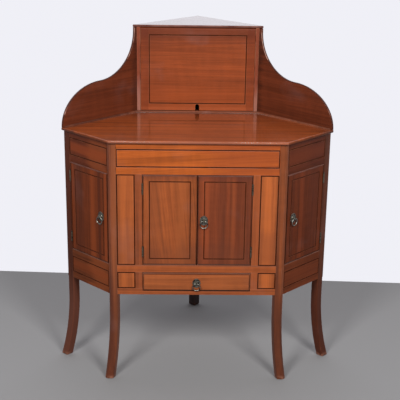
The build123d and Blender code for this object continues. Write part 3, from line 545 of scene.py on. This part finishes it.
for index, (door, (board, trim)) in enumerate({**front_doors, **side_doors}.items()):
    tone, lean, outward, bands = door_looks[door]
    if door in front_doors:
        slot, sheen, dust_and_highlight, dust_and_highlight_reach = "mahogany", {}, 0.3, 0.0044
        foot, head = (corner[height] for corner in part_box(board))
        foot_shade = (height, foot, 0.11, 0.35, (104, 54, 35))
        head_shade = (height, head, 0.022, 0.4, (96, 50, 40))
        bands = [*bands, foot_shade, head_shade]
    else:
        slot, dust_and_highlight, dust_and_highlight_reach = "dark_mahogany", 0.5, 0.0026
        sheen = {"coat": 0.04, "specular": 0.1}
    board_shift, bead_shift = 7.3 + 1.9 * index, 8.1 + index
    board_finish = wood_finish(
        f"{door}_mahogany", upright, tone, shift=board_shift, lean=lean, bands=bands, **sheen
    )
    # Painted shade on the board's edges in the gaps.
    soften(board, door, board_finish, arris=board_arris, rim_mark=-1.0, outward=outward)
    low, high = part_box(trim)
    # Dust and painted highlight along the top and foot of the bead.
    trim_dust_and_highlights = [
        (height, high[height], dust_and_highlight_reach, dust_and_highlight, (176, 130, 120)),
        (height, low[height], dust_and_highlight_reach, dust_and_highlight, (176, 136, 124)),
    ]
    bead_finish = wood_finish(
        f"{door}_bead", upright, tone, shift=bead_shift, bands=bands + trim_dust_and_highlights, **sheen
    )
    bead = soften(
        trim,
        door,
        bead_finish,
        arris=bead_arris,
        edge_mark=-1.0,
        rim_mark=-1.0,
        outward=outward,
    )
    bead.data.materials.append(door_line_finish)
    line_reach = line_distance if door in front_doors else line_distance / math.sqrt(2)
    marks = bead.data.attributes["wear_light_and_shade"].data
    for face, mark in zip(bead.data.polygons, marks):
        centre = face.center
        above_foot, below_head = centre[height] - low[height], high[height] - centre[height]
        to_sides = centre[across] - low[across], high[across] - centre[across]
        # Upward faces of the top bead are left out of the painted shade, as lit from above.
        if face.normal.z > upward and below_head < bead_width:
            mark.value = 0.0
        if min(*to_sides, above_foot, below_head) > line_reach:
            face.material_index = 1

# The butts are brass gone dark with age: two thin leaves that turn on a pin, one screwed to the edge
# of the door and one to the post or stile beside it. The flap's pivot pins are the same brass.
brass_dark = shade(34, 31, 26)
brass_body = shade(110, 102, 88)
brass_light = shade(206, 204, 190)
brass_green = shade(64, 76, 64)


def brass_finish(name, rub_and_highlight, body):
    """Old brass: clouded dark, with greenish specks, paler on positive marks (wear and painted
    highlight) and darker on negative ones (painted shade).
    """
    material = bpy.data.materials.new(name)
    material.use_nodes = True
    tree = material.node_tree
    shader = tree.nodes["Principled BSDF"]
    fresh = Value(tree)
    place = fresh.node("ShaderNodeTexCoord", {}, {}, output="Object")
    clouds = place.noise((160, 160, 160), detail=5.0)
    specks = place.noise((900, 900, 900), detail=2.0)
    edge = fresh.node("ShaderNodeAttribute", {"attribute_name": "wear_light_and_shade"}, {}, output=2)
    colour = fresh.mix(clouds.above(0.30, 0.56), brass_dark, body)
    colour = colour.blend(edge.at_least(0.0) * rub_and_highlight, brass_light)
    colour = colour.blend((0.0 - edge).at_least(0.0) * 0.8, brass_dark)
    colour = colour.blend(specks.above(0.62, 0.7) * 0.5, brass_green)
    tree.links.new(colour.socket, shader.inputs["Base Color"])
    tree.links.new((clouds * -0.5 + 1.05).socket, shader.inputs["Metallic"])
    tree.links.new((clouds * 0.3 + specks * 0.15 + 0.14).socket, shader.inputs["Roughness"])
    bumps = {"Height": clouds + specks * 0.4, "Strength": 0.35, "Distance": 0.0003}
    tree.links.new(fresh.node("ShaderNodeBump", {}, bumps).socket, shader.inputs["Normal"])
    return material


hinge_brass = brass_finish("hinge_brass", 0.2, brass_body)
metal_arris = 0.0002
hinge_nodes = {
    "frame_hinge_leaves": "carcass",
    "hinge_pins": "carcass",
    "front_door_hinge_leaves_left": "front_door_left",
    "front_door_hinge_leaves_right": "front_door_right",
    "side_door_hinge_leaves_left": "side_door_left",
    "side_door_hinge_leaves_right": "side_door_right",
}
for node, body in hinge_nodes.items():
    soften(node, body, hinge_brass, arris=metal_arris, shortest=0.004)

# The drawer has a mahogany front with a proud bead, dovetailed to thin sides of a plain pale-brown
# timber, and a plain back and bottom.
drawer_tone = (158, 83, 41)
drawer_glow = (across, 0.075, 0.07, 0.3, (182, 98, 50))
bead_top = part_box("drawer_cockbead")[1][height]
bead_shade = (height, bead_top - 0.0042, 0.004, 0.75, (80, 34, 20))
# Dust and painted highlight on the bead's top, and a painted shadow at its foot.
bead_top_dust_and_highlight = (height, bead_top, 0.005, 0.35, (176, 132, 116))
bead_foot_shadow = (height, drawer_foot, 0.0045, 0.9, (36, 18, 10))
drawer_finish = wood_finish(
    "drawer_mahogany", crosswise, drawer_tone, shift=12.7, figure=0.3, bands=[drawer_glow, bead_shade]
)
drawer_bead = wood_finish(
    "drawer_bead", crosswise, drawer_tone, shift=13.9, gloss=0.3, bands=[bead_top_dust_and_highlight, bead_foot_shadow]
)
# Painted shade on the front's edges in its gap and along the bead's edges.
soften("drawer_front", "drawer", drawer_finish, arris=board_arris, rim_mark=-1.0)
soften("drawer_cockbead", "drawer", drawer_bead, arris=bead_arris, edge_mark=-1.0)
plain_tone, inward = (156, 116, 78), (0, 0, math.pi / 2)
plain_long = wood_finish(
    "plain_timber_lengthwise", inward, plain_tone, shift=14.3, gloss=0.62, coat=0.0
)
plain_cross = wood_finish(
    "plain_timber_crosswise", crosswise, plain_tone, shift=15.1, gloss=0.62, coat=0.0
)
soften("drawer_sides", "drawer", plain_long)
for node in ("drawer_back", "drawer_bottom"):
    soften(node, "drawer", plain_cross)

# Inside the case everything is plain timber left dry, tongued or glued in place: floor, underside,
# partitions, back boards, runners, stops and glue blocks.
old_tone = (118, 80, 52)
dry_cross = wood_finish(
    "dry_timber_crosswise", crosswise, old_tone, shift=16.9, gloss=0.7, coat=0.0
)
dry_upright = wood_finish(
    "dry_timber_upright", upright, old_tone, shift=17.7, gloss=0.7, coat=0.0
)
for node in ("cupboard_floor", "bottom_board", "drawer_runners", "door_stops", "glue_blocks"):
    soften(node, "carcass", dry_cross)
for node in ("partitions", "back_board_left", "back_board_right"):
    soften(node, "carcass", dry_upright)

# The main top is one board of mahogany laid over the posts and rails, with rounded edges, rubbed
# and painted pale along the top. Its polish mirrors the stiles and the flap.
top_foot, top_face = (corner[height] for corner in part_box("main_top"))
flap_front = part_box("flap_board")[0][depth]
shaded_end = (70, 36, 26)
top_finish = wood_finish(
    "top_mahogany",
    crosswise,
    (170, 83, 37),
    shift=18.3,
    gloss=0.3,
    coat=1.0,
    coat_ior=1.9,
    coat_roughness=0.07,
    waviness=0.25,
    wear_and_highlight=0.85,
    rubbed_and_lit_tone=(176, 124, 102),
    rub_range=(0.12, 0.4),
    bands=[
        # painted shade on the front's foot and at the ends; painted dark reflection before the flap
        (height, top_foot, 0.012, 0.45, (96, 46, 30)),
        (depth, flap_front, 0.12, 0.35, (92, 50, 38)),
        (depth, flap_front, 0.06, 0.40, (84, 42, 32)),
        (across, -0.47, 0.08, 0.4, shaded_end),
        (across, 0.47, 0.08, 0.4, shaded_end),
        (across, 0.06, 0.11, 0.25, (96, 44, 26)),
    ],
)
eased_arris, side_lean = 0.0008, 0.3
nearly_upright, nearly_level, underside = 0.15, 0.93, -0.99


def rub_and_light_arris(piece, upper, lower, ends):
    """Marks a board's edges: rubbed and painted lit above, less so in front, and painted shade below
    and at the ends.
    """
    marks = piece.data.attributes["wear_light_and_shade"].data
    for face, mark in zip(piece.data.polygons, marks):
        aside = abs(face.normal.x) > side_lean
        if nearly_upright < face.normal.z < nearly_level:
            mark.value = ends / 2 if aside else upper
        elif abs(face.normal.z) <= nearly_upright:
            mark.value = ends if aside else upper / 3
        elif underside < face.normal.z < 0:
            mark.value = lower


main_top = soften("main_top", "carcass", top_finish, arris=eased_arris)
rub_and_light_arris(main_top, upper=0.35, lower=-0.5, ends=-0.6)

# The two shaped galleries stand on the top along the walls and meet in a mitre at the corner. Each is
# parallel to the canted side across from it, and so is its grain. Their swept upper edges carry
# painted shade, with a painted pale reflection only where they rise steeply, and painted shade
# darkens them beside the stiles.
gallery_tone, stile_shade_tone = (102, 47, 26), (46, 22, 14)
stile_shade_bands = [(across, 0.205, 0.03, 0.5, stile_shade_tone), (across, -0.215, 0.02, 0.4, stile_shade_tone)]
reflection_from, steepness = top_face + 0.045, 0.76
gallery_walls = {
    "left": (along_right_side, (-0.707, 0.707, 0)),
    "right": (along_left_side, (0.707, 0.707, 0)),
}
for hand, (grain, wall_normal) in gallery_walls.items():
    gallery_finish = wood_finish(
        f"gallery_mahogany_{hand}",
        grain,
        gallery_tone,
        shift=19.9,
        wear_and_highlight=0.85,
        rubbed_and_lit_tone=(214, 170, 152),
        rub_range=(0.42, 0.58),
        bands=stile_shade_bands,
    )
    gallery = soften(
        f"gallery_{hand}",
        "carcass",
        gallery_finish,
        arris=0.0016,
        shortest=0.0,
        rim_mark=-0.4,
        outward=wall_normal,
    )
    # Steep arrises high up get the painted pale reflection, the other arrises painted shade.
    along_wall = Vector((wall_normal[1], -wall_normal[0], 0))
    marks = gallery.data.attributes["wear_light_and_shade"].data
    for face, mark in zip(gallery.data.polygons, marks):
        if mark.value > 0:
            steep = abs(face.normal.z) < steepness * abs(face.normal.dot(along_wall))
            mark.value = 0.8 if steep and face.center.z > reflection_from else -0.7

# Narrow stiles, rubbed to a pinkish edge, carry the pins of the flap under the triangular board. The
# flap is one mahogany board, with a slightly redder strip outside its dark line at each side, and old
# bloom in its polish.
stile_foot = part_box("upper_stiles")[0][height]
pale_foot = (height, stile_foot, 0.11, 0.40, (182, 136, 122))
upper_stile_finish = wood_finish(
    "upper_stile_mahogany",
    upright,
    (136, 66, 42),
    shift=21.1,
    wear_and_highlight=0.9,
    bloom=0.2,
    bands=[pale_foot],
)
soften("upper_stiles", "carcass", upper_stile_finish, arris=0.0012)
flap_low, flap_high = (corner[height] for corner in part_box("flap_board"))
flap_finish = wood_finish(
    "flap_mahogany",
    crosswise,
    (142, 66, 30),
    shift=22.3,
    figure=0.45,
    bloom=0.12,
    side_strip=0.175,
    bands=[
        (height, 0.895, 0.05, 0.3, (180, 84, 38)),
        # painted shadow under the overhang of the triangular board
        (height, flap_high, 0.06, 0.6, (96, 44, 28)),
        (across, -0.15, 0.05, 0.12, (84, 36, 24)),
        (height, flap_low, 0.018, 0.35, (196, 98, 56)),
    ],
)
soften("flap_board", "flap", flap_finish, arris=eased_arris)
soften("flap_pins", "flap", hinge_brass, arris=metal_arris, shortest=0.002)

# A threshold strip closes the foot of the flap and quarter-round beads the feet of the galleries,
# glued in the angle with the main top. The left bead is darker than the rest.
foot_bead_finish = wood_finish(
    "foot_bead_mahogany",
    crosswise,
    (122, 69, 48),
    shift=21.7,
    wear_and_highlight=0.8,
    bloom=0.3,
    bands=[(across, -0.34, 0.17, 0.75, (76, 38, 27))],
)
soften("foot_beads", "carcass", foot_bead_finish, arris=eased_arris)

# The triangular board that closes the upper cupboard is mahogany too, laid on the stiles and the
# galleries. It has the glossiest polish: seen low, it mirrors the pale room.
upper_board_finish = wood_finish(
    "upper_board_mahogany",
    crosswise,
    (104, 54, 42),
    shift=23.1,
    gloss=0.2,
    coat=1.0,
    figure=0.1,
    coat_roughness=0.1,
    coat_ior=2.0,
    waviness=0.3,
    relief=0.01,
    pores=0.1,
    rubbed_and_lit_tone=(200, 150, 132),
)
upper_board = soften(
    "upper_board", "carcass", upper_board_finish, arris=eased_arris
)
rub_and_light_arris(upper_board, upper=0.8, lower=0.0, ends=-0.7)

# Ring pulls of cast brass: a moulded backplate with an eyed post, whose shank goes through the board
# to a nut behind it, and a free ring in the eye. What faces up carries a painted highlight, what
# faces down painted shade, and the faces round the post take a darker brass as painted shade at the
# eye.
pull_brass = brass_finish("pull_brass", 0.9, shade(118, 116, 108))
post_shade_brass = brass_finish("pull_post_brass", 0.5, brass_body)
pull_nodes = {
    "front_door_right_pull_plate": "front_door_right",
    "front_door_right_pull_ring": "front_door_ring",
    "drawer_pull_plate": "drawer",
    "drawer_pull_ring": "drawer_ring",
    "side_door_pull_plate_left": "side_door_left",
    "side_door_pull_ring_left": "side_door_left_ring",
    "side_door_pull_plate_right": "side_door_right",
    "side_door_pull_ring_right": "side_door_right_ring",
}
post_reach, pull_arris, slant = 0.0055, 0.0003, 0.35
for node, body in pull_nodes.items():
    pull = soften(node, body, pull_brass, arris=pull_arris, shortest=0.002)
    marks = pull.data.attributes["wear_light_and_shade"].data
    # Upward faces get a painted highlight and downward ones painted shade.
    for face, mark in zip(pull.data.polygons, marks):
        if abs(face.normal.z) > slant:
            mark.value = 0.6 if face.normal.z > 0 else -0.8
    if "plate" in node:
        pull.data.materials.append(post_shade_brass)
        low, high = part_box(node)
        middle_x = (low[across] + high[across]) / 2
        middle_z = (low[height] + high[height]) / 2
        for face in pull.data.polygons:
            off_centre = math.hypot(face.center.x - middle_x, face.center.z - middle_z)
            if off_centre < post_reach:
                face.material_index = 1
